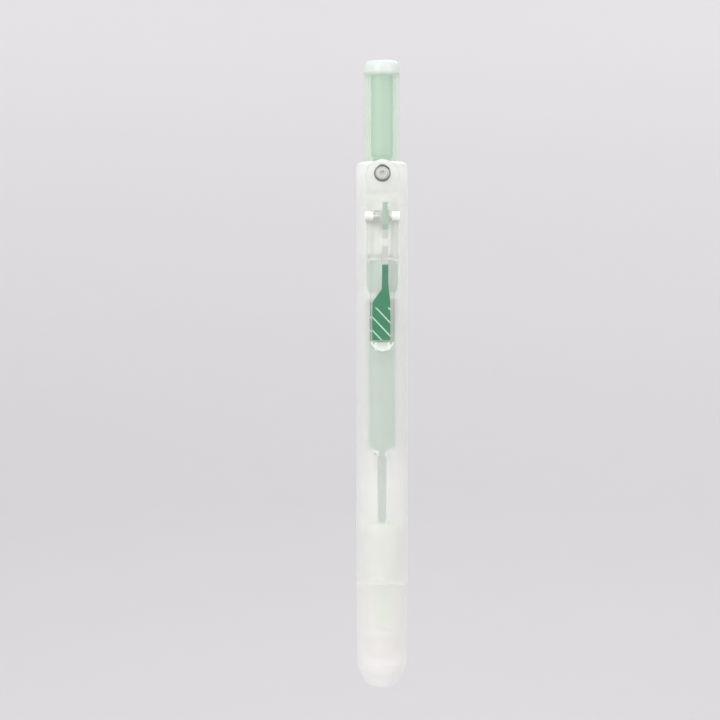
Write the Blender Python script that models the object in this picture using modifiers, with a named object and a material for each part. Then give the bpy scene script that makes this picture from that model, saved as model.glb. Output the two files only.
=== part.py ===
"""Retractable highlighter: a frosted barrel, a long push button, a sprung clip,
a click cam, an ink refill with a chisel nib, and two flaps that shut the nose.

The pen stands on its nose, +Z towards the button, with the clip facing -Y.
Profiles are written in millimetres around the pen's axis and scaled to metres.
"""

import math

import bmesh
import bpy
from mathutils import Matrix, Vector

MM = 0.001
SEG = 40                     # sides of the large round pieces
SEG_SMALL = 28               # sides of the small round pieces

# Driving dimensions, in millimetres
LENGTH = 140.0               # nose to button top
BARREL_R = 5.75
BORE_R = 4.75
BARREL_TOP = 117.3
MOUTH_R = 4.35               # hole that the button slides through
MOUTH_DEPTH = 5.3
SEAM_Z = 22.9                # joint between the barrel and the front section
FRONT_R = 5.65
NOSE_R = 5.5
NOSE_FLAT_R = 2.65
NOSE_BORE_R = 2.3
NOSE_ROUND_Z = 5.4
SPIGOT_R = 4.65
SPIGOT_TOP = 36.4
CHAMBER_R = 4.0              # bore of the front section
POCKET_R = 4.25              # room for the open flaps

STROKE = 16.0                # travel of the button and of the refill
BUTTON_R = 4.1
BUTTON_FOOT_Z = 110.7
SLEEVE_BORE_R = 3.2
CORE_R = 2.5

GUIDE_FOOT = 81.5
GUIDE_TOP = 94.3
GROOVE_R = 4.05              # bore of the guide between its splines
SPLINE_R = 3.62              # tips of the guide's splines
RIB_R = 3.86                 # tips of the cam's and the rotor's ribs
CAM_R = 3.45
RIBS = 4
RIB_HALF_ANGLE = 6.5
RIB_PLAY = 2.5
ROTOR_TURN = 22.5            # turn of the rotor over one full press
ROTOR_FOOT = 88.4
ROTOR_TOP = 95.6

TANK_R = 3.5
TANK_BORE_R = 3.1
TANK_FOOT = 53.1
TANK_TOP = 86.5
INK_TOP = 84.0
NECK_R = 1.9
WICK_TIP = 36.4

NIB_R = 1.8
NIB_TIP = 12.0
NIB_WEDGE = 5.2
SNOUT_R = 2.1
SNOUT_FOOT = 18.0
SNOUT_TOP = 26.8
HOLDER_R = 2.6
COLLAR_FOOT = 33.0
COLLAR_TOP = 35.8
COLLAR_R = 3.8

FLAP_Z = 6.5                 # height of the flaps' hinges
FLAP_HINGE_X = 2.7
FLAP_THICK = 0.45
FLAP_R = 2.55
SEAT_FOOT = 7.1
SEAT_TOP = 10.1
SEAT_BORE_R = 2.35

CLIP_TOP = 117.2
CLIP_FOOT = 74.9
CLIP_THICK = 1.3
CLIP_FRONT = 10.2            # front of the clip's head, measured from the axis
CLIP_TIP_FRONT = 8.35
PIVOT_Y = -7.3
PIVOT_Z = 104.8
FOOT_Z = 76.05               # the clip's foot, which rests against the barrel
CLIP_SPRING_Z = 114.3
CLIP_PIN_R = 0.5
STEM_LEFT = -0.1             # sides of the inlay's stem
STEM_RIGHT = 1.3

AXIS_Y = (CLIP_FRONT - BARREL_R) / 2     # centres the pen with its clip on Y = 0

parts = None
cutters = None
bodies = {}


def clear_scene():
    for thing in list(bpy.data.objects):
        bpy.data.objects.remove(thing, do_unlink=True)


def new_collection(name):
    group = bpy.data.collections.new(name)
    bpy.context.scene.collection.children.link(group)
    return group


def add_body(name, x=0.0, y=0.0, z=0.0, parent=None):
    """An empty on the joint's axis, which carries the pieces that move together."""
    empty = bpy.data.objects.new(name + "_axis", None)
    empty.empty_display_size = 2 * MM
    parts.objects.link(empty)
    empty.location = Vector((x, y + AXIS_Y, z)) * MM
    if parent:
        empty.parent = bodies[parent]
        empty.location -= bodies[parent].location
    bodies[name] = empty


def material(name, colour, roughness, metallic=0.0, transmission=0.0):
    mat = bpy.data.materials.new(name)
    mat.use_nodes = True
    shader = mat.node_tree.nodes["Principled BSDF"]
    shader.inputs["Base Color"].default_value = (*colour, 1.0)
    shader.inputs["Roughness"].default_value = roughness
    shader.inputs["Metallic"].default_value = metallic
    shader.inputs["Transmission Weight"].default_value = transmission
    return mat


def place(obj, body, mat):
    """Put a piece on its body; its mesh is written around the pen's axis, in metres."""
    obj.data.materials.append(mat)
    parts.objects.link(obj)
    obj.parent = bodies[body]
    pen_axis = Vector((0.0, AXIS_Y * MM, 0.0))
    origin = bodies[body].location.copy()
    if bodies[body].parent:
        origin += bodies[body].parent.location
    obj.data.transform(Matrix.Translation(pen_axis - origin))
    return obj


def lathe_mesh(name, profile, steps=SEG):
    """Turn a profile of (radius, height) points, outer side downwards, around Z."""
    flat = bpy.data.meshes.new(name + "_profile")
    points = [(r * MM, 0.0, z * MM) for r, z in profile]
    edges = [(i, i + 1) for i in range(len(points) - 1)]
    if profile[0][0] > 0.0:
        edges.append((len(points) - 1, 0))
    flat.from_pydata(points, edges, [])
    obj = bpy.data.objects.new(name + "_turned", flat)
    cutters.objects.link(obj)
    screw = obj.modifiers.new("Screw", "SCREW")
    screw.steps = steps
    screw.render_steps = steps
    screw.use_merge_vertices = True
    screw.merge_threshold = 0.00001
    mesh = evaluated_mesh(obj, name)
    bpy.data.objects.remove(obj, do_unlink=True)
    return mesh


def evaluated_mesh(obj, name):
    bpy.context.view_layer.update()
    graph = bpy.context.evaluated_depsgraph_get()
    mesh = bpy.data.meshes.new_from_object(obj.evaluated_get(graph))
    mesh.name = name
    return mesh


def smooth(obj, angle=35.0):
    obj.data.shade_smooth()
    obj.data.set_sharp_from_angle(angle=math.radians(angle))
    return obj


def lathe(name, profile, steps=SEG):
    return smooth(bpy.data.objects.new(name, lathe_mesh(name, profile, steps)))


def arc(r0, z0, width, height, start, end, count):
    """Points on an ellipse around (r0, z0), from one angle to another, in degrees."""
    points = []
    for i in range(count + 1):
        a = math.radians(start + (end - start) * i / count)
        points.append((r0 + width * math.cos(a), z0 + height * math.sin(a)))
    return points


def box_mesh(x0, x1, y0, y1, z0, z1):
    mesh = bpy.data.meshes.new("box")
    bm = bmesh.new()
    bmesh.ops.create_cube(bm, size=1.0)
    for v in bm.verts:
        v.co.x = (x0 if v.co.x < 0 else x1) * MM
        v.co.y = (y0 if v.co.y < 0 else y1) * MM
        v.co.z = (z0 if v.co.z < 0 else z1) * MM
    bm.to_mesh(mesh)
    bm.free()
    return mesh


def rod_mesh(radius, start, end, axis, centre, segments=SEG_SMALL):
    """A cylinder along X or Y, from start to end, around a centre (first, second)."""
    mesh = bpy.data.meshes.new("rod")
    bm = bmesh.new()
    bmesh.ops.create_cone(bm, cap_ends=True, segments=segments, radius1=radius * MM,
                          radius2=radius * MM, depth=(end - start) * MM)
    middle = (start + end) / 2
    if axis == "X":
        turn = Matrix.Rotation(math.radians(90.0), 4, "Y")
        spot = Vector((middle, centre[0], centre[1]))
    else:
        turn = Matrix.Rotation(math.radians(90.0), 4, "X")
        spot = Vector((centre[0], middle, centre[1]))
    bm.transform(Matrix.Translation(spot * MM) @ turn)
    bm.to_mesh(mesh)
    bm.free()
    return mesh


def combine(obj, operation, mesh):
    """Join or cut a piece with another closed mesh and apply the result."""
    tool = bpy.data.objects.new("tool", mesh)
    tool.hide_render = True
    tool.display_type = "WIRE"
    cutters.objects.link(tool)
    cutters.objects.link(obj)
    step = obj.modifiers.new("Boolean", "BOOLEAN")
    step.operation = operation
    step.solver = "EXACT"
    step.object = tool
    mesh = evaluated_mesh(obj, obj.name)
    obj.modifiers.clear()
    obj.data = mesh
    cutters.objects.unlink(obj)
    bpy.data.objects.remove(tool, do_unlink=True)
    return smooth(obj)


def loft(name, sections):
    """A closed solid through sections with equal point counts, capped at both ends."""
    mesh = bpy.data.meshes.new(name)
    bm = bmesh.new()
    rings = [[bm.verts.new(Vector(p) * MM) for p in section] for section in sections]
    count = len(rings[0])
    for low, high in zip(rings, rings[1:]):
        for i in range(count):
            j = (i + 1) % count
            bm.faces.new((low[i], low[j], high[j], high[i]))
    bm.faces.new(list(reversed(rings[0])))
    bm.faces.new(rings[-1])
    bmesh.ops.recalc_face_normals(bm, faces=bm.faces)
    bm.to_mesh(mesh)
    bm.free()
    return mesh


def crown_mesh(inner, outer, root_z, tip_z, teeth):
    """A ring with sawtooth ends: each tooth rises along a ramp and drops steeply."""
    mesh = bpy.data.meshes.new("crown")
    bm = bmesh.new()
    columns = []
    for tooth in range(teeth):
        for share, height in ((0.0, 0.0), (0.5, 0.5), (0.94, 1.0)):
            a = 2 * math.pi * (tooth + share) / teeth
            spread = Vector((math.cos(a), math.sin(a), 0.0))
            top = root_z + (tip_z - root_z) * (0.25 + 0.75 * height)
            ring = [spread * inner + Vector((0, 0, root_z)), spread * outer + Vector((0, 0, root_z)),
                    spread * outer + Vector((0, 0, top)), spread * inner + Vector((0, 0, top))]
            columns.append([bm.verts.new(p * MM) for p in ring])
    for a, b in zip(columns, columns[1:] + columns[:1]):
        for i in range(4):
            j = (i + 1) % 4
            bm.faces.new((a[i], a[j], b[j], b[i]))
    bmesh.ops.triangulate(bm, faces=bm.faces)
    bmesh.ops.recalc_face_normals(bm, faces=bm.faces)
    bm.to_mesh(mesh)
    bm.free()
    return mesh


def rib_mesh(angle, inner, outer, low, high):
    """A radial rib whose sides follow a fixed half angle."""
    half = math.radians(RIB_HALF_ANGLE)
    middle = math.radians(angle)
    corners = [(inner, -half), (outer, -half), (outer, half), (inner, half)]
    ends = []
    for z in (low, high):
        ends.append([(r * math.cos(middle + a), r * math.sin(middle + a), z) for r, a in corners])
    return loft("rib", ends)


def add_ribs(obj, low, high):
    for i in range(RIBS):
        obj = combine(obj, "UNION", rib_mesh(45.0 + 360.0 * i / RIBS, 3.0, RIB_R, low, high))
    return obj


def coil(name, radius, wire, start, end, turns, per_turn, along="Z", centre=(0.0, 0.0)):
    """A compression spring with closed ends, as a bevelled curve made into a mesh."""
    curve = bpy.data.curves.new(name, "CURVE")
    curve.dimensions = "3D"
    curve.bevel_depth = wire * MM
    curve.bevel_resolution = 2
    curve.use_fill_caps = True
    spline = curve.splines.new("POLY")
    count = int(turns * per_turn)
    spline.points.add(count)
    closed = 0.75                      # turns at each end that lie nearly flat
    flat_pitch = 2.1 * wire
    pitch = (end - start - 2 * closed * flat_pitch) / (turns - 2 * closed)
    for i, point in enumerate(spline.points):
        turn = turns * i / count
        flat_low = min(turn, closed)
        flat_high = max(0.0, turn - (turns - closed))
        free = turn - flat_low - flat_high
        travel = start + (flat_low + flat_high) * flat_pitch + free * pitch
        a = 2 * math.pi * turn
        u = radius * math.cos(a)
        v = radius * math.sin(a)
        spot = (u, v, travel) if along == "Z" else (u + centre[0], travel, v + centre[1])
        point.co = (*(Vector(spot) * MM), 1.0)
    holder = bpy.data.objects.new(name + "_curve", curve)
    cutters.objects.link(holder)
    mesh = evaluated_mesh(holder, name)
    bpy.data.objects.remove(holder, do_unlink=True)
    bm = bmesh.new()
    bm.from_mesh(mesh)
    bmesh.ops.remove_doubles(bm, verts=bm.verts, dist=0.000002)
    bmesh.ops.recalc_face_normals(bm, faces=bm.faces)
    bm.to_mesh(mesh)
    bm.free()
    return smooth(bpy.data.objects.new(name, mesh), 80.0)


# ---------------------------------------------------------------- casing

def make_barrel():
    corner = 0.9
    outer = [(0.0, BARREL_TOP)]
    outer += arc(BARREL_R - corner, BARREL_TOP - corner, corner, corner, 90, 0, 5)
    outer += [(BARREL_R, SEAM_Z + 0.2), (BARREL_R - 0.15, SEAM_Z), (0.0, SEAM_Z)]
    barrel = lathe("barrel", outer)
    for side in (-1, 1):
        inner_x, outer_x = sorted((side * 2.0, side * 3.9))
        barrel = combine(barrel, "UNION",
                         rod_mesh(1.05, inner_x, outer_x, "X", (PIVOT_Y, PIVOT_Z)))
        barrel = combine(barrel, "UNION",
                         box_mesh(inner_x, outer_x, PIVOT_Y, -2.5, PIVOT_Z - 1.05, PIVOT_Z + 1.05))
    barrel = combine(barrel, "UNION",
                     rod_mesh(1.0, -6.6, -5.0, "Y", (0.0, CLIP_SPRING_Z), 20))
    step_z = BARREL_TOP - MOUTH_DEPTH
    bore = [(0.0, BARREL_TOP + 1), (MOUTH_R, BARREL_TOP + 1), (MOUTH_R, step_z)]
    bore += [(BORE_R, step_z - 0.4), (BORE_R, SEAM_Z - 1), (0.0, SEAM_Z - 1)]
    barrel = combine(barrel, "DIFFERENCE", lathe_mesh("bore", bore))
    barrel = combine(barrel, "DIFFERENCE",
                     rod_mesh(CLIP_PIN_R + 0.1, -5.0, 5.0, "X", (PIVOT_Y, PIVOT_Z), 16))
    place(barrel, "root", material("frosted_clear", (0.80, 0.81, 0.77), 0.38, transmission=0.85))


def nose_curve(count):
    """The nose's outline, fuller than a chamfer and leaner than a quarter ellipse."""
    lean = 1.38
    points = []
    for i in range(count + 1):
        a = math.radians(90 * i / count)
        r = NOSE_FLAT_R + (NOSE_R - NOSE_FLAT_R) * max(0.0, math.cos(a)) ** lean
        points.append((r, NOSE_ROUND_Z * (1 - math.sin(a) ** lean)))
    return points


def make_front_section():
    shoulder = SEAM_Z - 0.15
    profile = [(CHAMBER_R, SPIGOT_TOP), (SPIGOT_R - 0.2, SPIGOT_TOP), (SPIGOT_R, SPIGOT_TOP - 0.3)]
    profile += [(SPIGOT_R, shoulder), (FRONT_R - 0.15, shoulder), (FRONT_R, shoulder - 0.2)]
    profile += nose_curve(9)
    profile += [(NOSE_BORE_R, 0.0), (NOSE_BORE_R, 1.2), (POCKET_R, 3.1)]
    profile += [(POCKET_R, SEAT_FOOT - 0.3), (CHAMBER_R, SEAT_FOOT)]
    front = lathe("front_section", profile)
    place(front, "root", material("milky_white", (0.82, 0.81, 0.77), 0.35, transmission=0.5))


def make_seal_carrier():
    outer = CHAMBER_R - 0.1
    profile = [(SEAT_BORE_R + 0.3, SEAT_TOP), (outer, SEAT_TOP), (outer, SEAT_FOOT + 0.1)]
    profile += [(outer - 0.2, SEAT_FOOT), (SEAT_BORE_R, SEAT_FOOT), (SEAT_BORE_R, SEAT_TOP - 0.4)]
    place(lathe("seal_carrier", profile, SEG_SMALL), "root",
          material("seal_rubber", (0.62, 0.62, 0.58), 0.7))


def flap_outline(side):
    """Half a disc, cut along the middle of the nose and along the hinge."""
    near = 0.1
    start = math.degrees(math.acos(near / FLAP_R))
    steps = 12
    points = []
    for i in range(steps + 1):
        a = math.radians(-start + 2 * start * i / steps)
        points.append((side * FLAP_R * math.cos(a), FLAP_R * math.sin(a)))
    return points


def make_flaps():
    rubber = material("flap_rubber", (0.60, 0.60, 0.57), 0.7)
    for side, name in ((-1, "shutter_left"), (1, "shutter_right")):
        outline = flap_outline(side)
        levels = [[(x, y, z) for x, y in outline] for z in (FLAP_Z - FLAP_THICK, FLAP_Z)]
        flap = bpy.data.objects.new(name, loft(name, levels))
        place(flap, name, rubber)


# ---------------------------------------------------------------- button and click cam

def make_button():
    top_round = 1.05
    profile = [(0.0, LENGTH)]
    profile += arc(BUTTON_R - top_round, LENGTH - top_round, top_round, top_round, 90, 0, 6)
    profile += [(BUTTON_R, BUTTON_FOOT_Z + 1.0), (4.6, BUTTON_FOOT_Z + 1.0), (4.6, BUTTON_FOOT_Z)]
    profile += [(SLEEVE_BORE_R, BUTTON_FOOT_Z), (SLEEVE_BORE_R, 137.1), (0.0, 137.1)]
    place(lathe("button_sleeve", profile), "button",
          material("button_clear", (0.84, 0.87, 0.82), 0.3, transmission=0.8))
    profile = [(0.0, 136.9), (CORE_R - 0.1, 136.9), (CORE_R, 136.6), (CORE_R, 118.9), (2.0, 118.3)]
    profile += [(2.0, 112.4), (3.05, 112.0), (3.05, 110.9), (2.0, 110.6), (2.0, 106.0), (0.0, 106.0)]
    place(lathe("button_core", profile, SEG_SMALL), "button",
          material("pale_green", (0.55, 0.72, 0.58), 0.45))


def make_thrust_cam():
    root_z = 97.0
    profile = [(0.0, 105.7), (2.12, 105.7), (2.12, 110.3), (2.95, 110.3), (2.95, 104.4)]
    profile += [(CAM_R, 103.8), (CAM_R, root_z), (1.3, root_z), (1.3, 91.0), (1.0, 90.6), (0.0, 90.6)]
    cam = lathe("thrust_cam", profile, SEG_SMALL)
    crown = crown_mesh(1.9, CAM_R - 0.02, -root_z - 0.3, -root_z + 0.95, 2 * RIBS)
    crown.transform(Matrix.Rotation(math.pi, 4, "X"))
    cam = combine(cam, "UNION", crown)
    cam = add_ribs(cam, root_z - 0.05, 103.4)
    place(cam, "button", material("grey_green", (0.60, 0.66, 0.58), 0.4))


def make_cam_rotor():
    root_z = ROTOR_TOP - 1.25
    bore = 1.5
    round_r = 0.9
    profile = [(bore, root_z), (CAM_R, root_z)]
    profile += arc(CAM_R - round_r, ROTOR_FOOT + round_r, round_r, round_r, 0, -90, 4)
    profile += [(bore, ROTOR_FOOT)]
    rotor = lathe("cam_rotor", profile, SEG_SMALL)
    rotor = combine(rotor, "UNION", crown_mesh(1.9, CAM_R - 0.02, root_z - 0.3, ROTOR_TOP - 0.3, 2 * RIBS))
    rotor = add_ribs(rotor, ROTOR_FOOT + 1.6, root_z - 0.1)
    place(rotor, "rotor", material("mid_green", (0.40, 0.56, 0.43), 0.4))


def guide_section(z):
    """One level of the guide's bore: grooves whose trailing flank leans with the rotor."""
    pressed = ROTOR_TOP - 1.3 - z
    lean = ROTOR_TURN * max(0.0, pressed) / STROKE
    ring = []
    for i in range(RIBS):
        middle = 45.0 + 360.0 * i / RIBS
        low = middle - RIB_HALF_ANGLE - RIB_PLAY - lean
        high = middle + RIB_HALF_ANGLE + RIB_PLAY
        end = middle + 360.0 / RIBS - RIB_HALF_ANGLE - RIB_PLAY - lean
        for share in (0.0, 0.34, 0.67, 1.0):
            ring.append((GROOVE_R, low + (high - low) * share))
        for share in (0.03, 0.34, 0.67, 0.97):
            ring.append((SPLINE_R, high + (end - high) * share))
    spots = [(r, math.radians(a)) for r, a in ring]
    return [(r * math.cos(a), r * math.sin(a), z) for r, a in spots]


def make_cam_guide():
    outer = BORE_R - 0.1
    blank = [(0.0, GUIDE_TOP), (outer, GUIDE_TOP), (outer, GUIDE_FOOT), (0.0, GUIDE_FOOT)]
    guide = lathe("cam_guide", blank)
    levels = [GUIDE_FOOT - 0.5, GUIDE_FOOT + 4.0, GUIDE_FOOT + 8.5, GUIDE_TOP + 0.5]
    guide = combine(guide, "DIFFERENCE", loft("grooves", [guide_section(z) for z in levels]))
    place(guide, "root", material("guide_clear", (0.82, 0.83, 0.79), 0.4, transmission=0.6))


# ---------------------------------------------------------------- refill

def make_tank():
    profile = [(TANK_BORE_R, TANK_TOP), (TANK_R - 0.1, TANK_TOP), (TANK_R, TANK_TOP - 0.2)]
    profile += [(TANK_R, TANK_FOOT + 0.3), (TANK_R - 0.3, TANK_FOOT), (NECK_R, 51.8), (NECK_R, 48.0)]
    profile += [(1.35, 47.8), (1.35, 51.9), (TANK_BORE_R, 53.4)]
    place(lathe("ink_tank", profile, SEG_SMALL), "refill",
          material("tank_clear", (0.84, 0.86, 0.82), 0.08, transmission=0.95))
    ink_r = TANK_BORE_R - 0.12
    profile = [(0.0, INK_TOP), (ink_r, INK_TOP), (ink_r, 53.6), (0.72, 52.4), (0.6, 51.7), (0.0, 51.7)]
    place(lathe("ink_fill", profile, SEG_SMALL), "refill",
          material("ink_green", (0.52, 0.70, 0.55), 0.1, transmission=0.5))
    profile = [(0.0, 88.2), (1.0, 88.2), (1.4, 87.7), (3.35, 87.5), (3.35, 86.65), (ink_r, 86.4)]
    profile += [(ink_r, 84.5), (ink_r - 0.3, 84.2), (0.0, 84.2)]
    place(lathe("tail_plug", profile, SEG_SMALL), "refill",
          material("plug_white", (0.80, 0.80, 0.77), 0.45))


def make_nib_holder():
    bore = NIB_R + 0.1
    profile = [(2.02, 51.3), (2.5, 51.3), (HOLDER_R, 51.0), (3.3, COLLAR_TOP + 1.2)]
    profile += [(COLLAR_R, COLLAR_TOP), (COLLAR_R, 35.1), (3.05, 35.1), (3.05, 33.7)]
    profile += [(COLLAR_R, 33.7), (COLLAR_R, COLLAR_FOOT), (HOLDER_R, COLLAR_FOOT)]
    profile += [(HOLDER_R, SNOUT_TOP + 0.4), (SNOUT_R, SNOUT_TOP), (SNOUT_R, SNOUT_FOOT)]
    profile += [(bore, SNOUT_FOOT), (bore, 36.25), (1.3, 36.6), (1.3, 47.4), (2.02, 47.5)]
    place(lathe("nib_holder", profile, SEG_SMALL), "refill",
          material("holder_milky", (0.84, 0.84, 0.80), 0.35, transmission=0.7))
    profile = [(3.2, 35.0), (3.75, 35.0), (3.9, 34.7), (3.9, 34.1), (3.75, 33.8), (3.2, 33.8)]
    place(lathe("holder_seal", profile, SEG_SMALL), "refill",
          material("ring_rubber", (0.55, 0.55, 0.53), 0.7))
    profile = [(0.0, 51.5), (0.8, 51.5), (1.05, 51.2)]
    profile += [(0.93, WICK_TIP + 1.0), (0.65, WICK_TIP), (0.0, WICK_TIP)]
    place(lathe("ink_wick", profile, 16), "refill", material("wick_green", (0.55, 0.72, 0.58), 0.6))


def make_nib():
    """A felt rod cut to a chisel: a wedge along X with a slanted end across Y."""
    top = 36.1
    blank = [(0.0, top), (NIB_R - 0.2, top), (NIB_R, top - 0.3), (NIB_R, NIB_TIP), (0.0, NIB_TIP)]
    nib = lathe("nib", blank, SEG_SMALL)
    half_tip = 0.5
    reach = 3.0
    for side in (-1, 1):
        flank = []
        for z, x in ((NIB_TIP - 0.5, half_tip - 0.125), (NIB_TIP + NIB_WEDGE + 1.0, NIB_R + 0.25)):
            edge = [(side * x, -reach, z), (side * x, reach, z)]
            flank.append(edge + [(side * 4.0, reach, z), (side * 4.0, -reach, z)])
        nib = combine(nib, "DIFFERENCE", loft("flank", flank))
    slant = []
    for y, z in ((-reach, NIB_TIP - 0.35), (reach, NIB_TIP + 1.65)):
        slant.append([(-3.0, y, z), (3.0, y, z), (3.0, y, NIB_TIP - 3.0), (-3.0, y, NIB_TIP - 3.0)])
    nib = combine(nib, "DIFFERENCE", loft("slant", slant))
    place(nib, "refill", material("nib_felt", (0.30, 0.95, 0.28), 0.85))


def make_return_spring():
    spring = coil("return_spring", 3.08, 0.24, SEAT_TOP + 0.4, COLLAR_FOOT - 0.4, 9.0, 12)
    place(spring, "root", material("spring_steel", (0.60, 0.60, 0.60), 0.3, metallic=1.0))


# ---------------------------------------------------------------- clip

def clip_half_width(z):
    """Half the clip's width at a height: a wide upper part, a waist, a slim tip."""
    wide, slim = 3.5, 2.68
    low, high = 87.0, 90.0
    if z <= low:
        half = slim
    elif z >= high:
        half = wide
    else:
        share = (z - low) / (high - low)
        half = slim + (wide - slim) * (3 * share ** 2 - 2 * share ** 3)
    if z < CLIP_FOOT + slim:
        half = math.sqrt(max(0.09, slim ** 2 - (CLIP_FOOT + slim - z) ** 2))
    head_r = 3.7
    head_z = CLIP_TOP - head_r
    if z > 110.0:
        half = wide + (head_r - wide) * min(1.0, (z - 110.0) / (head_z - 110.0))
    if z > head_z:
        half = math.sqrt(max(0.09, head_r ** 2 - (z - head_z) ** 2))
    return half


def clip_front_y(z):
    """Front face of the clip: upright at the head, then leaning in towards the tip."""
    bend = 108.0
    share = max(0.0, (bend - z) / (bend - CLIP_FOOT))
    y = -CLIP_FRONT + (CLIP_FRONT - CLIP_TIP_FRONT) * share ** 1.15
    if z > 115.5:
        y += 0.25 * ((z - 115.5) / (CLIP_TOP - 115.5)) ** 2
    return y


def clip_heights():
    low = [CLIP_FOOT + 2.68 * (1 - math.cos(math.radians(a))) for a in (6, 25, 45, 68, 90)]
    middle = [81.0, 84.5, 87.0, 87.8, 88.5, 89.2, 90.0, 96.0, 102.0, 108.0, 111.0]
    head = [CLIP_TOP - 3.7 * (1 - math.sin(math.radians(a))) for a in (0, 22, 43, 62, 78, 86)]
    return low + middle + head


def clip_section(z):
    half = clip_half_width(z)
    front = clip_front_y(z)
    back = front + CLIP_THICK
    edge = min(0.3, half * 0.5)
    outline = [(-half, front + edge), (-half + edge, front), (half - edge, front), (half, front + edge)]
    outline += [(half, back - 0.1), (half - 0.1, back), (-half + 0.1, back), (-half, back - 0.1)]
    return [(x, y, z) for x, y in outline]


def add_clip_flanges(clip):
    """Side walls behind the clip's wide part, which make it a stiff channel."""
    low, high = 90.6, 103.2
    for side in (-1, 1):
        inner, outer = sorted((side * 2.75, side * 3.45))
        ends = []
        for z, depth in ((low, 0.6), (low + 2.0, 1.3), (high, 1.3)):
            face = clip_front_y(z) + 0.6
            back = clip_front_y(z) + CLIP_THICK + depth
            ends.append([(inner, face, z), (outer, face, z), (outer, back, z), (inner, back, z)])
        clip = combine(clip, "UNION", loft("flange", ends))
    return clip


def make_clip():
    clip = bpy.data.objects.new("clip", loft("clip", [clip_section(z) for z in clip_heights()]))
    clip = add_clip_flanges(clip)
    knuckle = 1.75
    web_front = clip_front_y(PIVOT_Z) + 0.6
    web = box_mesh(-knuckle, knuckle, web_front, PIVOT_Y, PIVOT_Z - 1.2, PIVOT_Z + 1.2)
    clip = combine(clip, "UNION", rod_mesh(1.2, -knuckle, knuckle, "X", (PIVOT_Y, PIVOT_Z), 24))
    clip = combine(clip, "UNION", web)
    clip = combine(clip, "DIFFERENCE",
                   rod_mesh(CLIP_PIN_R + 0.12, -3.0, 3.0, "X", (PIVOT_Y, PIVOT_Z), 16))
    plate_back = clip_front_y(PIVOT_Z) + CLIP_THICK
    slot = box_mesh(STEM_LEFT - 0.25, STEM_RIGHT + 0.2, plate_back, plate_back + 0.56,
                    PIVOT_Z - 2, PIVOT_Z + 2)
    clip = combine(clip, "DIFFERENCE", slot)
    foot = []
    for x, back in ((-1.75, -6.3), (-1.1, -5.97), (1.1, -5.97), (1.75, -6.3)):
        front = clip_front_y(FOOT_Z) + 0.7
        reach = 0.9 if abs(x) < 1.5 else 0.75
        foot.append([(x, front, FOOT_Z - reach), (x, back - 0.2, FOOT_Z - 0.6 * reach), (x, back, FOOT_Z),
                     (x, back - 0.2, FOOT_Z + 0.6 * reach), (x, front, FOOT_Z + reach)])
    clip = combine(clip, "UNION", loft("foot", foot))
    place(clip, "clip", material("clip_clear", (0.86, 0.87, 0.84), 0.06, transmission=0.95))


def make_clip_inlay():
    """A thin strip behind the clip: a plate on the slim part and a stem above it."""
    gap, thick = 0.12, 0.28
    middle = (STEM_LEFT + STEM_RIGHT) / 2
    rows = [(z, -2.2, 1.75) for z in (77.4, 81.5, 85.7)]
    rows += [(88.7, STEM_LEFT - 0.05, STEM_RIGHT + 0.1)]
    rows += [(z, STEM_LEFT, STEM_RIGHT) for z in (90.5, 96.0, 101.5, 106.2)]
    rows += [(107.0, middle - 0.35, middle + 0.35), (107.8, STEM_LEFT, STEM_RIGHT)]
    sections = []
    for z, left, right in rows:
        face = clip_front_y(z) + CLIP_THICK + gap
        back = face + thick
        sections.append([(left, face, z), (right, face, z), (right, back, z), (left, back, z)])
    inlay = bpy.data.objects.new("clip_inlay", loft("clip_inlay", sections))
    place(inlay, "clip", material("inlay_green", (0.07, 0.25, 0.16), 0.5))


def make_clip_hardware():
    pin = bpy.data.objects.new("clip_pin", rod_mesh(CLIP_PIN_R, -3.85, 3.85, "X", (PIVOT_Y, PIVOT_Z), 16))
    place(smooth(pin), "root", material("pin_steel", (0.70, 0.70, 0.70), 0.3, metallic=1.0))
    spring = coil("clip_spring", 1.6, 0.2, -8.62, -6.02, 3.5, 14, "Y", (0.0, CLIP_SPRING_Z))
    place(spring, "root", material("coil_steel", (0.45, 0.45, 0.45), 0.3, metallic=1.0))


def build():
    global parts, cutters
    clear_scene()
    parts = new_collection("retractable_highlighter")
    cutters = new_collection("cutters")
    add_body("root", y=-AXIS_Y)
    add_body("button", z=LENGTH)
    add_body("refill", z=SNOUT_FOOT)
    add_body("rotor", z=ROTOR_FOOT, parent="refill")
    add_body("clip", y=PIVOT_Y, z=PIVOT_Z)
    add_body("shutter_left", x=-FLAP_HINGE_X, z=FLAP_Z)
    add_body("shutter_right", x=FLAP_HINGE_X, z=FLAP_Z)
    make_barrel()
    make_front_section()
    make_seal_carrier()
    make_flaps()
    make_button()
    make_thrust_cam()
    make_cam_rotor()
    make_cam_guide()
    make_tank()
    make_nib_holder()
    make_nib()
    make_return_spring()
    make_clip()
    make_clip_inlay()
    make_clip_hardware()


build()
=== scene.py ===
import math

import bmesh
import bpy
from mathutils import Matrix, Vector


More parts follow.
